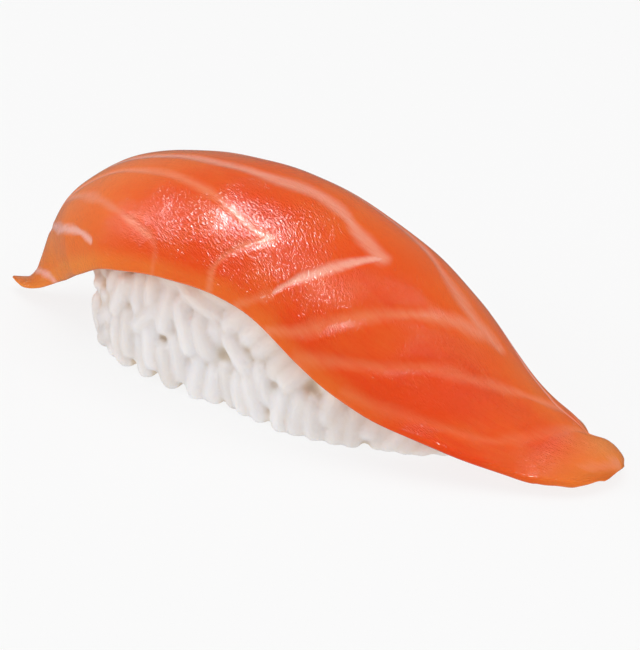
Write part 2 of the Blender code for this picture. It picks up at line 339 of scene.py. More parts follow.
# Fat lines on the slice: half width in mm at the start and at the end, strength, then
# points as (place along in mm, share of the way from the ridge to the near edge at -1 or
# the far edge at 1). The near arm and the far arm of a chevron meet at its point.
fatLines = [
    # First chevron
    (0.38, 0.42, 0.66, [(-2, -1.02), (-2, -0.83), (0, -0.65), (3.5, -0.48)]),
    (0.44, 0.40, 0.66, [(3.5, -0.48), (0, -0.47), (-5, -0.37), (-10, -0.28), (-17, -0.21),
                        (-27, -0.20), (-33, -0.26)]),
    # Second chevron, its near arm faint at the edge and white further up, that white partly a
    # painted highlight
    (0.40, 0.44, 0.55, [(2.5, -1.02), (4.5, -0.93), (7, -0.79)]),
    (0.14, 0.50, 1.30, [(5.5, -0.88), (7, -0.79), (8.5, -0.65), (11, -0.44), (14.5, -0.11)]),
    (0.70, 0.55, 0.90, [(14.5, -0.11), (10.5, -0.06), (7, 0.02), (2, 0.04), (-5, 0.01),
                        (-17, 0.03), (-26, 0.0)]),
    # Third chevron
    (0.46, 0.85, 0.64, [(8, -1.02), (12.5, -0.83), (17.5, -0.49), (22.5, -0.08), (25.5, 0.12)]),
    (0.80, 0.34, 0.66, [(27.5, 0.23), (24, 0.18), (19.5, 0.24), (14, 0.34), (0, 0.37),
                        (-20, 0.31), (-29, 0.22)]),
    # Fourth chevron
    (0.62, 0.72, 0.42, [(13.5, -1.0), (21.5, -0.68), (25.5, -0.43), (29, -0.27), (33.5, 0.07),
                        (36, 0.36)]),
    (0.34, 0.45, 0.95, [(40.5, 0.62), (36, 0.42), (31.5, 0.51), (18, 0.62), (-4, 0.66),
                        (-16, 0.60)]),
    # Fifth chevron, round the tail
    (0.60, 0.75, 0.27, [(20.5, -0.96), (26, -0.89), (33, -0.77), (35.5, -0.60), (37.5, -0.30),
                        (40.5, 0.50)]),
    (0.34, 0.50, 0.80, [(41, 0.70), (38, 0.66), (34, 0.74), (26, 0.84), (0, 0.88), (-14, 0.84)]),
    # Towards the thin tip
    (0.34, 0.40, 0.30, [(-11.5, -1.02), (-11.5, -0.85), (-12.5, -0.76)]),
    (0.40, 0.50, 0.60, [(-12.5, -0.76), (-17.5, -0.65), (-24.5, -0.47), (-32, -0.26)]),
    (0.70, 0.35, 1.30, [(-36, -0.10), (-35, -0.31), (-32.5, -0.57), (-27.5, -0.71),
                        (-24, -0.82)]),
    # A pale patch at the root of the thin tip, and a painted highlight at the end of the tail
    (0.80, 0.60, 1.00, [(-38.5, 0.10), (-38, -0.47), (-36.5, -1.0)]),
    (0.80, 0.80, 0.62, [(44, -0.62), (45.5, -0.16), (45.5, 0.20)]),
]

# Places where the skin is more wrinkled: along in mm, share across, half length and half
# width in mm, and how much more
wrinkledSpots = [(28.5, -0.25, 5.0, 2.4, 1.6), (10.0, -0.62, 4.5, 2.4, 0.5)]

# The flesh: its colours, each the surface's own in plain daylight but for the milky one,
# which is a painted sheen, the waves in the width of a fat line, as size, rate and shift, the
# zones of colour as shares where they start and where they are full, and the sizes of its
# patterns, all for UV in mm
flesh = {
    "deep": (0.745, 0.060, 0.005),
    "orange": (0.755, 0.102, 0.012),
    "light": (0.790, 0.220, 0.030),
    "fat": (0.800, 0.235, 0.100),
    "pinkFat": (0.850, 0.400, 0.320),
    # The milky colour is a painted sheen
    "milky": (0.800, 0.280, 0.130),
    "acrossScale": 16.0,
    "fatSteps": 12,
    "fatSoftness": 2.2,
    "fatWaves": [(0.20, 11, 2.1), (0.12, 29, 1)],
    "towardsTip": (0.10, 0.46),
    "tailEnd": (0.91, 0.98),
    "farSide": (-0.45, 0.35),
    "sheenSide": (-0.85, 0.10),
    "nearEdge": (0.84, 0.98),
    "nearEdgeStops": (0.70, 0.84),
    "whitestFat": (0.6, 1.2),
    "cloudScale": 0.09,
    "raggedScale": 0.9,
    "driftScale": 0.12,
    "driftAmount": 2.5,
    "strandLength": 4.0,
    "strandWidth": 0.6,
    "wetScale": 0.5,
    "lumpScale": 0.55,
    "pitScale": 2.6,
    "patchScale": 0.22,
    "wrinkleLength": 0.60,
    "wrinkleWidth": 0.20,
    "wrinkleTurn": math.radians(-22),
    "wrinkleDepth": 0.000098,
    "shader": {"Subsurface Weight": 0.35, "Subsurface Radius": (1.0, 0.35, 0.15),
               "Subsurface Scale": 0.0022, "IOR": 1.45},
}


def fatOver(along, share):
    # For each point: 1 on the middle of the nearest fat line, 0 well off it, and the strength
    across = share * flesh["acrossScale"]
    tent = np.zeros(along.shape)
    strengths = np.zeros(along.shape)
    for number, (startWidth, endWidth, strength, points) in enumerate(fatLines):
        points = np.array(points)
        line = np.stack([lengthAlong(points[:, 0]), points[:, 1] * flesh["acrossScale"]], axis=1)
        line = smoothCurve(line, flesh["fatSteps"])
        count = len(line) - 1
        for i, (start, end) in enumerate(zip(line, line[1:])):
            way = end - start
            part = ((along - start[0]) * way[0] + (across - start[1]) * way[1]) / (way @ way)
            part = np.clip(part, 0, 1)
            away = np.hypot(along - start[0] - part * way[0], across - start[1] - part * way[1])
            place = (i + part) / count
            uneven = 1
            for size, rate, turn in flesh["fatWaves"]:
                uneven = uneven + size * np.sin(rate * place + turn * number)
            width = (startWidth + (endWidth - startWidth) * place) * uneven
            found = np.clip(1 - away / (flesh["fatSoftness"] * width), 0, 1)
            closer = found > tent
            tent = np.where(closer, found, tent)
            strengths = np.where(closer, strength, strengths)
    return tent, strengths


def rimPoints(top, under, thickness):
    # Rows of points round the near rim and the far rim, from the upper face to the lower
    middle = (top + under) / 2
    outward = middle[:, [0, -1]] - middle[:, [1, -2]]
    outward /= np.linalg.norm(outward, axis=2, keepdims=True)
    half = (top - under)[:, [0, -1]] / 2
    bulge = (sliceForm["edgeBulge"] * thickness[:, [0, -1]])[..., None]
    return [
        middle[:, [0, -1]] + half * math.cos(turn) + outward * bulge * math.sin(turn)
        for turn in np.pi * np.arange(1, sliceForm["rimSteps"]) / sliceForm["rimSteps"]
    ]


def roundRings(over, below, rim):
    # Values over the slice, round its far rim, back under it and round its near rim
    far, near = over[:, -1:].repeat(rim, axis=1), over[:, :1].repeat(rim, axis=1)
    return np.concatenate([over, far, below[:, ::-1], near], axis=1)


def withTips(rows):
    # The values of the rings, with one more at each tip
    flat = np.asarray(rows, float).reshape(-1)
    return np.concatenate([flat[:1], flat, flat[-1:]])


def buildSlice(shift):
    form = sliceForm
    at = stationsEvenly(form["cellsAlong"])
    across = np.linspace(-1, 1, form["cellsOver"] + 1)
    coarse = np.linspace(-1, 1, form["cellsUnder"] + 1)
    top, under, thickness = sliceFaces(at, across)
    _, coarseUnder, _ = sliceFaces(at, coarse)
    rims = rimPoints(top, under, thickness)
    # The fat lines lie a little lower than the flesh between them
    along = lengthAlong(throughStations(at)[:, 0])[:, None] + 0 * across
    share = across[None, :] + 0 * along
    fat, strength = fatOver(along, share)
    groove = fat * fat * (3 - 2 * fat)
    relief = form["swellHeight"] - form["grooveDepth"] * groove
    relief = relief * (1 - np.abs(share) ** form["reliefTaper"])
    relief = relief * np.clip(thickness / form["fullReliefAt"], 0, 1)
    top = top + normalsOf(top) * relief[..., None]
    rings = np.concatenate(
        [top]
        + [rim[:, 1:2] for rim in rims]
        + [coarseUnder[:, ::-1]]
        + [rim[:, 0:1] for rim in rims[::-1]],
        axis=1,
    )
    sides = rings.shape[1]
    ends = []
    for ring, way in ((rings[0], rings[0] - rings[1]), (rings[-1], rings[-1] - rings[-2])):
        out = way.mean(axis=0)
        out /= np.linalg.norm(out)
        centre = ring.mean(axis=0)
        smaller = centre + (ring - centre) * form["endShare"] + out * form["endReach"]
        ends.append([smaller, centre + out * form["tipReach"]])
    (first, firstTip), (last, lastTip) = ends
    points = np.concatenate([[firstTip], first, rings.reshape(-1, 3), last, [lastTip]])
    points = wobbled(points)
    points[:, 2] = np.maximum(points[:, 2], form["floorClearance"])
    faces = []
    rows = form["cellsAlong"] + 3
    for i in range(rows - 1):
        for j in range(sides):
            k = (j + 1) % sides
            a, b = 1 + i * sides, 1 + (i + 1) * sides
            faces.append((a + j, b + j, b + k, a + k))
    lastRow = 1 + (rows - 1) * sides
    for j in range(sides):
        k = (j + 1) % sides
        faces.append((0, 1 + j, 1 + k))
        faces.append((len(points) - 1, lastRow + k, lastRow + j))
    data = bpy.data.meshes.new("salmonSlice")
    data.from_pydata([tuple(point) for point in (points + shift) * mm], [], faces)
    data.shade_smooth()
    # What the colours follow: the fat, the way along and across, and the wrinkled spots
    rim = len(rims)
    coarseAlong = along[:, :1] + 0 * coarse
    fatUnder, strengthUnder = fatOver(coarseAlong, coarse + 0 * coarseAlong)
    noFatAtEnds = ((1, 1), (0, 0))
    acrossRows = roundRings(across[None], coarse[None], rim).repeat(rows, axis=0)
    alongRows = np.concatenate([along[:1, 0], along[:, 0], along[-1:, 0]])[:, None]
    alongRows = alongRows.repeat(sides, axis=1)
    wrinkled = np.zeros((rows, sides))
    spotAlong = lengthAlong(np.array([spot[0] for spot in wrinkledSpots]))
    for start, (_, spotShare, halfLength, halfWidth, much) in zip(spotAlong, wrinkledSpots):
        wayAlong = (alongRows - start) / halfLength
        wayAcross = (acrossRows - spotShare) * flesh["acrossScale"] / halfWidth
        wrinkled += much * np.exp(-wayAlong ** 2 - wayAcross ** 2)
    addFields(data, {
        "wrinkled": withTips(wrinkled),
        "fat": withTips(np.pad(roundRings(fat, fatUnder, rim), noFatAtEnds)),
        "strength": withTips(np.pad(roundRings(strength, strengthUnder, rim), noFatAtEnds)),
        "across": withTips(acrossRows),
        "along": withTips(alongRows / along.max()),
    })
    unwrap(data, withTips(alongRows), withTips(acrossRows) * flesh["acrossScale"])
    return newObject("salmonSlice", data)


def unwrap(data, along, across):
    # UV in millimetres, along the slice and across it
    corners = np.empty(len(data.loops), int)
    data.loops.foreach_get("vertex_index", corners)
    layer = data.uv_layers.new(name="UVMap")
    layer.data.foreach_set("uv", np.stack([along[corners], across[corners]], axis=1).ravel())


def salmonMaterial():
    material, board, shader = newMaterial("salmonFlesh", flesh["shader"])
    uv = board.add("ShaderNodeUVMap", {"uv_map": "UVMap"})
    fat, strength, across, along = board.fields("fat", "strength", "across", "along")
    cloud = board.noise(uv, flesh["cloudScale"], 2.0)
    ragged = board.noise(uv, flesh["raggedScale"], 3.0, 0.6)
    bent = board.bent(uv, flesh["driftScale"], flesh["driftAmount"])
    strands = board.stretched(bent, flesh["strandLength"], flesh["strandWidth"])
    strands = board.noise(strands, 1.0, 3.0, 0.6)
    # The fat: ragged at its sides and crossed by the fibres
    soft = (fat + (ragged - 0.5) * 0.20 + (strands - 0.5) * 0.16).between(0.04, 1.0)
    fatMask = soft * fat.between(0.0, 0.12) * (0.86 + (strands - 0.5) * 0.9)
    # The flesh: paler towards both ends, on the far side and at the near edge
    edge = across.calc("ABSOLUTE", across)
    nearEdge = (edge + (ragged - 0.5) * 0.05).between(*flesh["nearEdge"])
    nearEdge = nearEdge * (1.0 - along.between(*flesh["nearEdgeStops"]))
    towardsTip = 1.0 - along.between(*flesh["towardsTip"])
    tailEnd = along.between(*flesh["tailEnd"])
    farSide = across.between(*flesh["farSide"])
    lightness = towardsTip * 0.85 + farSide * 0.40 + nearEdge * 0.40 + tailEnd * 0.75
    patchy = (cloud + (strands - 0.5) * 0.4).between(0.36, 0.78)
    body = board.mixed(patchy, flesh["deep"], flesh["orange"])
    body = board.mixed(lightness.clipped(), body, flesh["light"])
    # Painted sheen: the far side towards the thin tip turns milky and pale, as if it caught a
    # sheen of light
    paintedSheen = towardsTip * across.between(*flesh["sheenSide"]) * 0.8
    body = board.mixed(paintedSheen, body, flesh["milky"])
    # On the strongest lines the whitest fat is partly a painted highlight
    whitest = strength.between(*flesh["whitestFat"])
    pinkness = (towardsTip * 0.8 + farSide * 0.5 + whitest * 0.6).clipped()
    fatColour = board.mixed(pinkness, flesh["fat"], flesh["pinkFat"])
    colour = board.mixed((fatMask * strength).clipped(), body, fatColour)
    board.plug(shader.inputs["Base Color"], colour)
    wet = board.noise(uv, flesh["wetScale"], 2.0)
    board.plug(shader.inputs["Roughness"], 0.09 + wet * 0.07 + fatMask * 0.04)
    # Fine wrinkles along the fibres and small pits between them
    fibres = board.stretched(
        bent, flesh["wrinkleLength"], flesh["wrinkleWidth"], flesh["wrinkleTurn"]
    )
    wrinkles = board.noise(fibres, 1.0, 1.0, 0.5, 0.7)
    pits = board.noise(uv, flesh["pitScale"], 2.0, 0.6)
    patches = board.noise(uv, flesh["patchScale"], 2.0).between(0.36, 0.62) * 0.3 + 0.7
    lumps = board.noise(uv, flesh["lumpScale"], 2.0)
    much = patches + board.fields("wrinkled")[0]
    fine = (wrinkles + pits * 0.45) * much * (1.0 - 0.4 * fatMask)
    bump = board.bump(flesh["wrinkleDepth"], fine + lumps * 0.9)
    board.plug(shader.inputs["Normal"], bump)
    return material


# The rice

riceBlock = {
    "halfLength": 28.0,
    "halfWidth": 12.2,
    "planPower": 2.7,
    "widestAt": 6.5,
    "shoulderAt": 20.0,
    "footRounding": 0.5,
    "footPower": 2.5,
    "shoulderRounding": 3.2,
    "shift": 0.5,
    "nearSwell": 0.11,
    "nearSwellAt": 9.0,
    "nearSwellReach": 9.0,
    "coreDepth": 2.3,
    "coreFoot": 0.5,
    "coreGap": 0.6,
    "coreLowest": 2.0,
    "coreSides": 48,
    "coreRows": 7,
    "coreRings": (0.75, 0.5, 0.25, 0.02),
    "roofReach": 1.6,
    "roofBeyond": 12.0,
    "roofCells": (211, 65),
    "skinCell": 0.3,
    "cleftClosing": 0.3,
    "skinSmoothing": 3,
    "seamWidth": 0.4,
    # How far the painted glow under the slice reaches, in mm
    "glowReach": 2.4,
}

grain = {
    "length": 6.7,
    "lengthSpread": 0.6,
    "radius": 1.42,
    "radiusSpread": 0.1,
    "widthShare": (1.04, 1.16),
    "heightShare": (0.94, 1.06),
    "squash": 0.3,
    "sink": 0.7,
    "lean": math.radians(68),
    "leanSpread": math.radians(34),
    "onSide": 124,
    "behind": 90,
    "behindInset": 2.1,
    "behindSink": 1.9,
    "underFoot": 46,
    "footReach": 0.8,
    "settling": 150,
    "farthestPush": 0.8,
    "pushShare": 0.45,
    "drawOut": 0.3,
    "clearance": 0.35,
    "bareDepth": 0.9,
    "bareGap": 0.6,
    "bareTurns": 120,
    "bareStep": 0.8,
    "lowestBare": 1.6,
    "mostFillers": 40,
    "fillerSink": 0.5,
    "fillerSettling": 20,
    "seed": 26,
}


def blockInset(z):
    block = riceBlock
    low = np.clip(1 - z / block["widestAt"], 0, 1)
    high = np.clip((z - block["widestAt"]) / (block["shoulderAt"] - block["widestAt"]), 0, 1.3)
    return block["footRounding"] * low ** block["footPower"] + block["shoulderRounding"] * high**2


def nearSwell(x, y):
    away = (x - riceBlock["nearSwellAt"]) / riceBlock["nearSwellReach"]
    return 1 + np.where(y < 0, riceBlock["nearSwell"] * np.exp(-(away ** 2)), 0)


def onBlock(turn, height, inset):
    block = riceBlock
    power = 2 / block["planPower"]
    planX = math.copysign(abs(math.cos(turn)) ** power, math.cos(turn))
    planY = math.copysign(abs(math.sin(turn)) ** power, math.sin(turn))
    inset = inset + float(blockInset(height))
    x = block["shift"] + planX * (block["halfLength"] - inset)
    y = planY * (block["halfWidth"] - inset) * nearSwell(x, planY)
    return np.array([x, float(y), height])


def blockShare(points):
    block = riceBlock
    inset = blockInset(points[:, 2])
    power = block["planPower"]
    x = np.abs(points[:, 0] - block["shift"]) / (block["halfLength"] - inset)
    y = np.abs(points[:, 1]) / (block["halfWidth"] - inset)
    y = y / nearSwell(points[:, 0], points[:, 1])
    return (x**power + y**power) ** (1 / power)


def blockDepth(points):
    # How deep each point lies in the block, and the way out
    step = 0.05
    slope = np.stack(
        [
            (blockShare(points + shift) - blockShare(points - shift)) / (2 * step)
            for shift in np.eye(3) * step
        ],
        axis=1,
    )
    steepness = np.maximum(np.linalg.norm(slope, axis=1), 1e-3)
    return (1 - blockShare(points)) / steepness, slope / steepness[:, None]


def grainSize(draw):
    radius = grain["radius"] + draw.uniform(-1, 1) * grain["radiusSpread"]
    length = grain["length"] + draw.uniform(-1, 1) * grain["lengthSpread"]
    return radius, length


def evenTurn(number):
    # Turns that spread evenly round the block, however many there are
    return (number * math.pi * (3 - math.sqrt(5))) % (2 * math.pi)


def leaningRod(draw, turn, height, radius, length, inset):
    # The two ends of a rod that leans against the block's side
    centre = onBlock(turn, height, radius + inset)
    level = onBlock(turn + 0.05, height, radius + inset) - centre
    level /= np.linalg.norm(level)
    lean = draw.gauss(grain["lean"], grain["leanSpread"])
    way = level * math.cos(lean) + np.array([0.0, 0.0, 1.0]) * math.sin(lean)
    half = way * (length / 2 - radius)
    return centre - half, centre + half


def sideGrains(draw, count, inset):
    # Rods round the block's side, up to the edge of the slice
    edges = sliceEdges()
    ends, radii = [], []
    for number in range(count):
        radius, length = grainSize(draw)
        turn = evenTurn(number)
        foot = onBlock(turn, radius, radius)
        highest = edgeHeight(edges, foot[0], int(math.sin(turn) > 0))
        height = draw.uniform(radius, max(highest, 2 * radius))
        ends.append(leaningRod(draw, turn, height, radius, length, inset))
        radii.append(radius)
    return np.array(ends), np.array(radii)


def footGrains(draw, count):
    # Rods lying under the block
    ends, radii = [], []
    for number in range(count):
        radius, length = grainSize(draw)
        share = math.sqrt(draw.uniform(0.0, grain["footReach"]))
        edge = onBlock(evenTurn(number), radius, 2 * radius)
        centre = np.array([edge[0] * share, edge[1] * share, radius])
        lean = draw.uniform(0, math.pi)
        half = np.array([math.cos(lean), math.sin(lean), 0.0]) * (length / 2 - radius)
        ends.append((centre - half, centre + half))
        radii.append(radius)
    return np.array(ends), np.array(radii)


def distanceToGrains(points, ends, radius):
    # The distances to the nearest grain and to the next one, and which grain is nearest
    nearest, following, which = [], [], []
    way = ends[:, 1] - ends[:, 0]
    pointsAtOnce = 6000
    for part in np.array_split(points, max(1, len(points) // pointsAtOnce)):
        away = part[:, None] - ends[None, :, 0]
        share = np.clip((away * way).sum(axis=2) / (way * way).sum(axis=1), 0, 1)
        away = np.linalg.norm(away - share[..., None] * way, axis=2) - radius
        order = np.argpartition(away, 1, axis=1)[:, :2]
        rows = np.arange(len(part))
        first, second = away[rows, order[:, 0]], away[rows, order[:, 1]]
        nearest.append(np.minimum(first, second))
        following.append(np.maximum(first, second))
        which.append(np.where(first > second, order[:, 1], order[:, 0]))
    return np.concatenate(nearest), np.concatenate(following), np.concatenate(which)


def fillBareSpots(draw, ends, radius):
    # More rods where the block's side shows between the others, the barest place first
    edges = sliceEdges()
    places, spots = [], []
    footInset = 2.0
    for turn in np.linspace(0, 2 * math.pi, grain["bareTurns"], endpoint=False):
        foot = onBlock(turn, footInset, footInset)
        highest = edgeHeight(edges, foot[0], int(math.sin(turn) > 0))
        for height in np.arange(grain["lowestBare"], highest + 1.0, grain["bareStep"]):
            places.append((turn, height))
            spots.append(onBlock(turn, height, grain["bareDepth"]))
    spots = np.array(spots)
    bare, _, _ = distanceToGrains(spots, ends, radius)
    for _ in range(grain["mostFillers"]):
        worst = int(bare.argmax())
        if bare[worst] < grain["bareGap"]:
            break
        size, length = grainSize(draw)
        rod = leaningRod(draw, *places[worst], size, length, grain["fillerSink"])
        ends = np.concatenate([ends, [rod]])
        radius = np.append(radius, size)
        more, _, _ = distanceToGrains(spots, ends[-2:], radius[-2:])
        bare = np.minimum(bare, more)
    return ends, radius


def nearestOnPair(a0, a1, b0, b1):
    # The shares along two rods where they are nearest to each other
    u, v, w = a1 - a0, b1 - b0, a0 - b0
    uu, vv = (u * u).sum(1), (v * v).sum(1)
    uv, uw, vw = (u * v).sum(1), (u * w).sum(1), (v * w).sum(1)
    s = np.clip((uv * vw - vv * uw) / np.maximum(uu * vv - uv * uv, 1e-6), 0, 1)
    t = np.clip((uv * s + vw) / vv, 0, 1)
    return np.clip((uv * t - uw) / uu, 0, 1)[:, None], t[:, None]


def pushApart(ends, radius, held):
    # Rods that press into each other move apart; the first held ones stay
    first, second = np.triu_indices(len(ends), 1)
    loose = second >= held
    first, second = first[loose], second[loose]
    s, t = nearestOnPair(ends[first, 0], ends[first, 1], ends[second, 0], ends[second, 1])
    onFirst = ends[first, 0] * (1 - s) + ends[first, 1] * s
    onSecond = ends[second, 0] * (1 - t) + ends[second, 1] * t
    gap = onFirst - onSecond
    apart = np.maximum(np.linalg.norm(gap, axis=1, keepdims=True), 1e-4)
    reach = (radius[first] + radius[second] - grain["squash"])[:, None]
    push = grain["pushShare"] * np.maximum(reach - apart, 0) * gap / apart
    move = np.zeros_like(ends)
    np.add.at(move[:, 0], first, push * (1 - s))
    np.add.at(move[:, 1], first, push * s)
    np.add.at(move[:, 0], second, -push * (1 - t))
    np.add.at(move[:, 1], second, -push * t)
    move[:held] = 0
    size = np.maximum(np.linalg.norm(move, axis=2, keepdims=True), 1e-6)
    return ends + move * np.minimum(1, grain["farthestPush"] / size)


def pushFromSlice(ends, radius, balls, ballRadius, held):
    for share in (0.0, 0.5, 1.0):
        point = ends[:, 0] * (1 - share) + ends[:, 1] * share
        away = point[:, None] - balls[None]
        distance = np.linalg.norm(away, axis=2)
        clear = distance - ballRadius[None]
        rows, worst = np.arange(len(point)), clear.argmin(axis=1)
        need = np.maximum(radius + grain["clearance"] - clear[rows, worst], 0)
        need[:held] = 0
        ends = ends + (away[rows, worst] * (need / distance[rows, worst])[:, None])[:, None]
    return ends


def settle(ends, radius, sink, tight, held, rounds):
    # Off their neighbours, into the block and out from the slice, over and over
    length = np.linalg.norm(ends[:, 1] - ends[:, 0], axis=1)
    at = np.linspace(0, lastStation, sliceForm["roughAlong"])
    top, under, _ = sliceFaces(at, np.linspace(-1, 1, sliceForm["roughAcross"]))
    balls = ((top + under) / 2).reshape(-1, 3)
    ballRadius = (np.linalg.norm(top - under, axis=2) / 2).reshape(-1)
    loose = np.arange(len(ends)) >= held
    for _ in range(rounds):
        ends = pushApart(ends, radius, held)
        ends = pushFromSlice(ends, radius, balls, ballRadius, held)
        for end in (0, 1):
            depth, out = blockDepth(ends[:, end])
            short = radius + sink[:, end] - depth
            drawOut = grain["drawOut"] * np.clip(short, -1, 0) * tight
            ends[:, end] -= out * (np.where(short > 0, short, drawOut) * loose)[:, None]
            lowest = np.maximum(ends[:, end, 2], radius - grain["squash"])
            ends[:, end, 2] = np.where(loose, lowest, ends[:, end, 2])
        middle = ends.mean(axis=1, keepdims=True)
        size = np.linalg.norm(ends[:, 1] - ends[:, 0], axis=1)
        ends = middle + (ends - middle) * (length / size)[:, None, None]
    return ends


def packGrains():
    draw = random.Random(grain["seed"])
    ends, radius = sideGrains(draw, grain["onSide"], 0)
    sink = np.array([[draw.uniform(0, grain["sink"]) for _ in range(2)] for _ in radius])
    ends = settle(ends, radius, sink, np.ones(len(ends)), 0, grain["settling"])
    held = len(ends)
    print("settled", held, "grains on the side")
    moreEnds, moreRadius = footGrains(draw, grain["underFoot"])
    behindEnds, behindRadius = sideGrains(draw, grain["behind"], grain["behindInset"])
    ends = np.concatenate([ends, moreEnds, behindEnds])
    radius = np.concatenate([radius, moreRadius, behindRadius])
    deep = np.zeros((len(ends), 2))
    deep[:held] = sink
    deep[-len(behindEnds):] = grain["behindSink"]
    tight = np.ones(len(ends))
    tight[held:] = 0.0
    ends = settle(ends, radius, deep, tight, held, grain["settling"])
    print("settled", len(ends) - held, "more behind and below them")
    held = len(ends)
    ends, radius = fillBareSpots(draw, ends, radius)
    sink = np.full((len(ends), 2), grain["fillerSink"])
    ends = settle(ends, radius, sink, np.zeros(len(ends)), held, grain["fillerSettling"])
    print("filled", len(ends) - held, "bare spots")
    return ends, radius


def pointsFor(ends, radius, shift):
    # One vertex for each grain, with its turn and size for the nodes, all in mm
    data = bpy.data.meshes.new("riceGrains")
    data.from_pydata([tuple(point) for point in ends.mean(axis=1) + shift], [], [])
    draw = random.Random(grain["seed"] + 1)
    turns, sizes = [], []
    for (start, end), r in zip(ends, radius):
        way = Vector(end - start)
        half = way.length / 2 + r
        spin = Quaternion((0, 0, 1), draw.uniform(0, 2 * math.pi))
        turns += list((way.to_track_quat("Z", "Y") @ spin).to_euler())
        wide = draw.uniform(*grain["widthShare"])
        sizes += [r * wide, r * draw.uniform(*grain["heightShare"]), half]
    for name, values in (("turn", turns), ("size", sizes)):
        attribute = data.attributes.new(name, "FLOAT_VECTOR", "POINT")
        attribute.data.foreach_set("vector", np.array(values, np.float32))
    return newObject("riceGrains", data)


# Each grain, in shares of its half width and half length, and in mm
grainShape = {
    "Sides": 10,
    "Rings": 8,
    "Bluntness": 0.72,
    "Bend": 0.16,
    "Taper": 0.10,
    "Unevenness": 0.42,
    "Wavelength": 2.6,
    "Seed": 4.0,
}


def grainTree():
    # One blunt, bent grain shape, set on every point with its own turn and size
    tree = bpy.data.node_groups.new("grainsOnPoints", "GeometryNodeTree")
    face = tree.interface

    def opening(name, kind, way="INPUT"):
        return face.new_socket(name=name, in_out=way, socket_type="NodeSocket" + kind).identifier

    opening("Geometry", "Geometry")
    sockets = {
        name: opening(name, "Int" if isinstance(value, int) else "Float")
        for name, value in grainShape.items()
    }
    sockets["Material"] = opening("Material", "Material")
    opening("Geometry", "Geometry", "OUTPUT")
    board = Board(tree)
    given = board.add("NodeGroupInput").socket.node.outputs
    wish = {name: Wire(board, given[name]) for name in (*grainShape, "Material")}
    points = Wire(board, given["Geometry"])
    ball = board.add(
        "GeometryNodeMeshUVSphere", {},
        {"Segments": wish["Sides"], "Rings": wish["Rings"], "Radius": 1.0},
    )
    place = board.add("GeometryNodeInputPosition")
    apart = board.add("ShaderNodeSeparateXYZ", {}, {0: place})
    x, y, z = (Wire(board, output) for output in apart.socket.node.outputs)
    offAxis = (x * x + y * y) ** 0.5
    widen = offAxis.calc("MAXIMUM", offAxis, 0.001) ** (wish["Bluntness"] - 1.0)
    taper = 1.0 - wish["Taper"] * z
    tall = z.calc("SIGN", z) * (z.calc("ABSOLUTE", z) ** wish["Bluntness"])
    bend = wish["Bend"] * (z * z - 0.4)
    shaped = board.add(
        "ShaderNodeCombineXYZ", {}, {0: x * widen * taper + bend, 1: y * widen * taper, 2: tall}
    )
    one = board.add("GeometryNodeSetPosition", {}, {"Geometry": ball, "Position": shaped})
    kind, vector = "GeometryNodeInputNamedAttribute", {"data_type": "FLOAT_VECTOR"}
    turn, size = (board.add(kind, vector, {"Name": name}) for name in ("turn", "size"))
    rotation = board.add("FunctionNodeEulerToRotation", {}, {0: turn})
    placed = board.add(
        "GeometryNodeInstanceOnPoints", {},
        {"Points": points, "Instance": one, "Rotation": rotation, "Scale": size},
    )
    real = board.add("GeometryNodeRealizeInstances", {}, {"Geometry": placed})
    ripple = board.add(
        "ShaderNodeTexNoise", {"noise_dimensions": "4D"},
        {"Vector": place, "W": wish["Seed"], "Scale": 1.0 / wish["Wavelength"], "Detail": 1.0},
        1,
    )
    centred = board.vector("SUBTRACT", {0: ripple, 1: (0.5, 0.5, 0.5)})
    offset = board.vector("SCALE", {0: centred, "Scale": wish["Unevenness"]})
    uneven = board.add("GeometryNodeSetPosition", {}, {"Geometry": real, "Offset": offset})
    smooth = board.add("GeometryNodeSetShadeSmooth", {}, {"Geometry": uneven})
    painted = board.add(
        "GeometryNodeSetMaterial", {}, {"Geometry": smooth, "Material": wish["Material"]}
    )
    board.plug(tree.nodes.new("NodeGroupOutput").inputs["Geometry"], painted)
    return tree, sockets


def coreMesh(shift):
    # The block's inside, up to the underside of the slice, as points in mm and faces
    block = riceBlock
    cellsAlong, cellsAcross = block["roofCells"]
    at = np.linspace(0, lastStation, cellsAlong)
    _, under, _ = sliceFaces(at, np.linspace(-1, 1, cellsAcross))
    under = under.reshape(-1, 3)

    def roof(x, y):
        near = np.hypot(under[:, 0] - x, under[:, 1] - y) < block["roofReach"]
        height = under[near, 2].min() - block["coreGap"] if near.any() else block["roofBeyond"]
        return max(height, block["coreLowest"])

    count, rows = block["coreSides"], block["coreRows"]
    rings = [[] for _ in range(rows + len(block["coreRings"]))]
    for turn in 2 * np.pi * np.arange(count) / count:
        plan = onBlock(turn, block["widestAt"], block["coreDepth"])
        high = roof(plan[0], plan[1])
        for row in range(rows):
            height = block["coreFoot"] + (high - block["coreFoot"]) * row / (rows - 1)
            rings[row].append(onBlock(turn, height, block["coreDepth"]))
        edge = rings[rows - 1][-1]
        for step, share in enumerate(block["coreRings"]):
            x = block["shift"] + (edge[0] - block["shift"]) * share
            y = edge[1] * share
            rings[rows + step].append(np.array([x, y, roof(x, y)]))
    points = np.array(rings).reshape(-1, 3)
    faces = []
    for i in range(len(rings) - 1):
        for j in range(count):
            k = (j + 1) % count
            a, b = i * count, (i + 1) * count
            faces.append((a + j, a + k, b + k, b + j))
    faces.append(tuple(range(count))[::-1])
    faces.append(tuple((len(rings) - 1) * count + j for j in range(count)))
    return points + shift, faces


def solidMesh(piece):
    # What the piece's modifiers make, as a plain mesh
    bpy.context.view_layer.update()
    evaluated = piece.evaluated_get(bpy.context.evaluated_depsgraph_get())
    return bpy.data.meshes.new_from_object(evaluated)


def pointsOf(data):
    points = np.empty(len(data.vertices) * 3)
    data.vertices.foreach_get("co", points)
    return points.reshape(-1, 3)


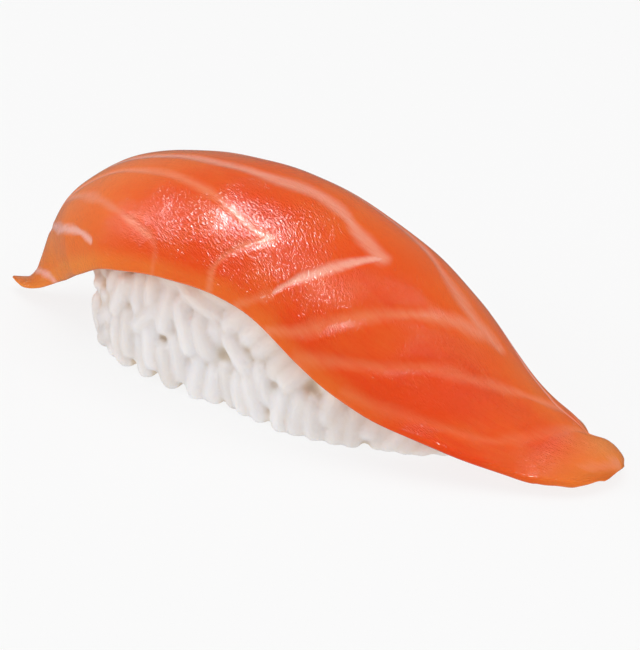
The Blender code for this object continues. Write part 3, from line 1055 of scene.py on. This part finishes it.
def outerShell(points, quads):
    # The largest joined part of the skin alone, without the hollows inside the block
    ring = np.concatenate([quads[:, [0, 1]], quads[:, [1, 2]], quads[:, [2, 3]], quads[:, [3, 0]]])
    label = np.arange(len(points))
    while True:
        low = np.minimum(label[ring[:, 0]], label[ring[:, 1]])
        following = label.copy()
        np.minimum.at(following, ring[:, 0], low)
        np.minimum.at(following, ring[:, 1], low)
        following = following[following]
        if (following == label).all():
            break
        label = following
    kept = label == np.bincount(label).argmax()
    number = np.cumsum(kept) - 1
    return points[kept], number[quads[kept[quads[:, 0]]]]


def buildRice(shift):
    # Grains from the nodes, stuck together over the core in one soft skin
    ends, radius = packGrains()
    piece = pointsFor(ends, radius, shift)
    tree, sockets = grainTree()
    modifier = piece.modifiers.new("grains", "NODES")
    modifier.node_group = tree
    material = riceMaterial()
    for name, value in grainShape.items():
        modifier[sockets[name]] = value
    modifier[sockets["Material"]] = material
    grains = solidMesh(piece)
    print("grains:", len(ends), "with", len(grains.polygons), "faces")
    piece.modifiers.clear()
    corePoints, coreFaces = coreMesh(shift)
    grainPoints = pointsOf(grains)
    faces = [tuple(face.vertices) for face in grains.polygons]
    faces += [tuple(len(grainPoints) + i for i in face) for face in coreFaces]
    joined = bpy.data.meshes.new("riceJoined")
    joined.from_pydata(np.concatenate([grainPoints, corePoints]).tolist(), [], faces)
    piece.data = joined
    for way in (1, -1):
        # Swelling and shrinking again closes the narrow clefts between grains
        skin = piece.modifiers.new("skin", "REMESH")
        skin.mode = "VOXEL"
        skin.voxel_size = riceBlock["skinCell"]
        swell = piece.modifiers.new("swell", "DISPLACE")
        swell.mid_level = 0.0
        swell.strength = way * riceBlock["cleftClosing"]
    soften = piece.modifiers.new("soften", "SMOOTH")
    soften.factor = 0.5
    soften.iterations = riceBlock["skinSmoothing"]
    skinned = solidMesh(piece)
    piece.modifiers.clear()
    quads = np.empty(len(skinned.loops), int)
    skinned.loops.foreach_get("vertex_index", quads)
    points, quads = outerShell(pointsOf(skinned), quads.reshape(-1, 4))
    points[:, 2] = np.maximum(points[:, 2], 0.0)
    data = bpy.data.meshes.new("riceGrains")
    data.from_pydata((points * mm).tolist(), [], quads.tolist())
    data.shade_smooth()
    data.materials.append(material)
    piece.data = data
    # What the colours follow: each grain's own tint, the seams and the gaps for painted shade, and
    # the slice above for a painted glow of light bounced from it
    free = points - shift
    nearest, following, which = distanceToGrains(free, ends, radius)
    draw = random.Random(grain["seed"] + 2)
    tints = np.array([draw.uniform(0, 1) for _ in radius])
    depth, _ = blockDepth(np.maximum(free, (-99.0, -99.0, 0.01)))
    edges = sliceEdges()
    near, far = (edgeHeight(edges, free[:, 0], side) for side in (0, 1))
    below = np.where(free[:, 1] < 0, near, far) - free[:, 2]
    addFields(data, {
        "tint": tints[which],
        "seam": np.exp(-np.maximum(following - nearest, 0) / riceBlock["seamWidth"]),
        "deep": depth,
        # How near the slice hangs above, for a painted glow of light bounced from it
        "paintedGlow": np.exp(-np.maximum(below, 0) / riceBlock["glowReach"]),
    })
    print("rice skin:", len(quads), "faces")
    return piece


# The rice's colours, with painted shade in the gaps between grains and a painted orange glow
# under the slice, of light bounced from it, and the scales of its patterns, for Object coordinates
# in metres
rice = {
    "white": (0.795, 0.772, 0.775),
    "milky": (0.735, 0.695, 0.678),
    # A painted orange glow of light bounced from the slice, and painted shade in the gaps under it
    "paintedGlow": (0.760, 0.555, 0.425),
    # The gap colours are painted shade in the gaps and seams between grains
    "gap": (0.620, 0.500, 0.360),
    "glowingShade": (0.720, 0.480, 0.260),
    "shadeDepth": (1.0, 1.8),
    "cloudScale": 300.0,
    "skinScale": 1100.0,
    "fineScale": 3300.0,
    "skinDepth": 0.00008,
    "shader": {"Subsurface Weight": 0.85, "Subsurface Radius": (1.0, 0.88, 0.74),
               "Subsurface Scale": 0.0030, "IOR": 1.42},
}


def riceMaterial():
    material, board, shader = newMaterial("cookedRice", rice["shader"])
    place = board.add("ShaderNodeTexCoord", {}, {}, 3)
    tint, seam, deep, paintedGlow = board.fields("tint", "seam", "deep", "paintedGlow")
    cloud = board.noise(place, rice["cloudScale"], 3.0)
    shade = (tint * 0.7 + cloud * 0.5).between(0.2, 0.9)
    colour = board.mixed(shade, rice["milky"], rice["white"])
    # Painted shade: the seams and the deep gaps between grains turn a darker tan
    gap = (seam * 0.12 + deep.between(*rice["shadeDepth"]) * 0.75).clipped()
    # The painted shade turns warmer under the slice, for the painted glow
    shadeColour = board.mixed(paintedGlow.clipped(), rice["gap"], rice["glowingShade"])
    colour = board.mixed(gap, colour, shadeColour)
    # Painted glow: the rice under the slice turns orange, as if lit by light bounced from the
    # salmon
    colour = board.mixed((paintedGlow * (0.80 + cloud * 0.9)).clipped(), colour, rice["paintedGlow"])
    board.plug(shader.inputs["Base Color"], colour)
    board.plug(shader.inputs["Roughness"], 0.26 + cloud * 0.20)
    skin = board.noise(place, rice["skinScale"], 3.0, 0.6)
    fine = board.noise(place, rice["fineScale"], 2.0, 0.6)
    board.plug(shader.inputs["Normal"], board.bump(rice["skinDepth"], skin + fine * 0.5))
    return material


# The studio

studio = {
    "picture": (640, 650),
    "pixelsPerMm": 8.3,
    "distance": 430.0,
    "azimuth": 35.5,
    "elevation": 27.5,
    "blockAt": (290, 377),
    "clip": (0.01, 20.0),
    "floorHalf": 4.0,
    "floorLight": 0.95,
    "floorGlow": 0.88,
    "floor": {"Base Color": (0.9, 0.9, 0.9), "Roughness": 0.9, "Specular IOR Level": 0.0},
    "skyStrength": 0.22,
    "aim": (0, 0, 0.01),
    # Name, place in metres, width and depth, power in watts, and whether it lights (1) or
    # shows as shine (2)
    "lamps": [
        ("ceiling", (0.02, 0.05, 0.75), 0.90, 0.70, 4.2, 1),
        ("nearFill", (0.22, -0.55, 0.22), 0.60, 0.40, 1.05, 1),
        ("leftFill", (-0.45, -0.35, 0.22), 0.40, 0.40, 1.5, 1),
        ("rightFill", (0.50, 0.20, 0.30), 0.40, 0.40, 1.1, 1),
        ("softbox", (-0.244, -0.085, 0.540), 0.22, 0.10, 3.4, 2),
        ("nearBox", (-0.020, -0.300, 0.480), 0.08, 0.06, 1.3, 2),
        ("leftBox", (-0.42, -0.18, 0.205), 0.06, 0.06, 0.30, 2),
        ("rearBox", (0.300, 0.225, 0.420), 0.05, 0.05, 0.15, 2),
    ],
}


def placeCamera(shift):
    azimuth, elevation = math.radians(studio["azimuth"]), math.radians(studio["elevation"])
    toCamera = Vector((
        math.sin(azimuth) * math.cos(elevation),
        -math.cos(azimuth) * math.cos(elevation),
        math.sin(elevation),
    ))
    right = Vector((math.cos(azimuth), math.sin(azimuth), 0))
    up = toCamera.cross(right)
    focal = studio["pixelsPerMm"] * studio["distance"]
    wide, high = studio["picture"]
    x, y = studio["blockAt"]
    camera = newObject("camera", bpy.data.cameras.new("camera"))
    camera.location = (Vector(shift) + toCamera * studio["distance"]) * mm
    look = -toCamera * focal + right * (wide / 2 - x) + up * (y - high / 2)
    camera.rotation_euler = look.to_track_quat("-Z", "Y").to_euler()
    camera.data.lens = focal * camera.data.sensor_width / max(wide, high)
    camera.data.clip_start, camera.data.clip_end = studio["clip"]
    bpy.context.scene.camera = camera


def areaLight(name, place, width, depth, power, use):
    light = bpy.data.lights.new(name, "AREA")
    light.shape = "RECTANGLE"
    light.size, light.size_y = width, depth
    light.energy = power
    lamp = newObject(name, light)
    lamp.location = place
    aim = Vector(studio["aim"]) - Vector(place)
    lamp.rotation_euler = aim.to_track_quat("-Z", "Y").to_euler()
    lamp.visible_diffuse = use != 2
    lamp.visible_glossy = use != 1


def buildStudio():
    data = bpy.data.meshes.new("floor")
    half = studio["floorHalf"]
    corners = [(-half, -half, 0), (half, -half, 0), (half, half, 0), (-half, half, 0)]
    data.from_pydata(corners, [], [(0, 1, 2, 3)])
    floor = newObject("floor", data)
    material, board, shader = newMaterial("paleFloor", studio["floor"])
    glow = {"Color": (1.0, 1.0, 1.0), "Strength": studio["floorLight"]}
    glow = board.add("ShaderNodeEmission", {}, glow)
    plain = Wire(board, shader.outputs[0])
    both = board.add("ShaderNodeMixShader", {}, {0: studio["floorGlow"], 1: plain, 2: glow})
    board.plug(material.node_tree.nodes["Material Output"].inputs["Surface"], both)
    floor.data.materials.append(material)
    floor.visible_glossy = False
    world = bpy.data.worlds.new("paleRoom")
    world.use_nodes = True
    sky = world.node_tree.nodes["Background"]
    sky.inputs["Color"].default_value = (1.0, 1.0, 1.0, 1.0)
    sky.inputs["Strength"].default_value = studio["skyStrength"]
    bpy.context.scene.world = world
    for lamp in studio["lamps"]:
        areaLight(*lamp)
    print("studio built with", len(studio["lamps"]), "lamps")


shift = cadShift()
print("slice lies at", shift.round(3))
salmonSlice = buildSlice(shift)
salmonSlice.data.materials.append(salmonMaterial())
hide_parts("salmon")
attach(salmonSlice, "root")
print("slice built with", len(salmonSlice.data.polygons), "faces")

riceGrains = buildRice(shift)
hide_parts("rice")
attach(riceGrains, "root")

placeCamera(shift)
buildStudio()
bpy.context.scene.view_settings.view_transform = "Standard"
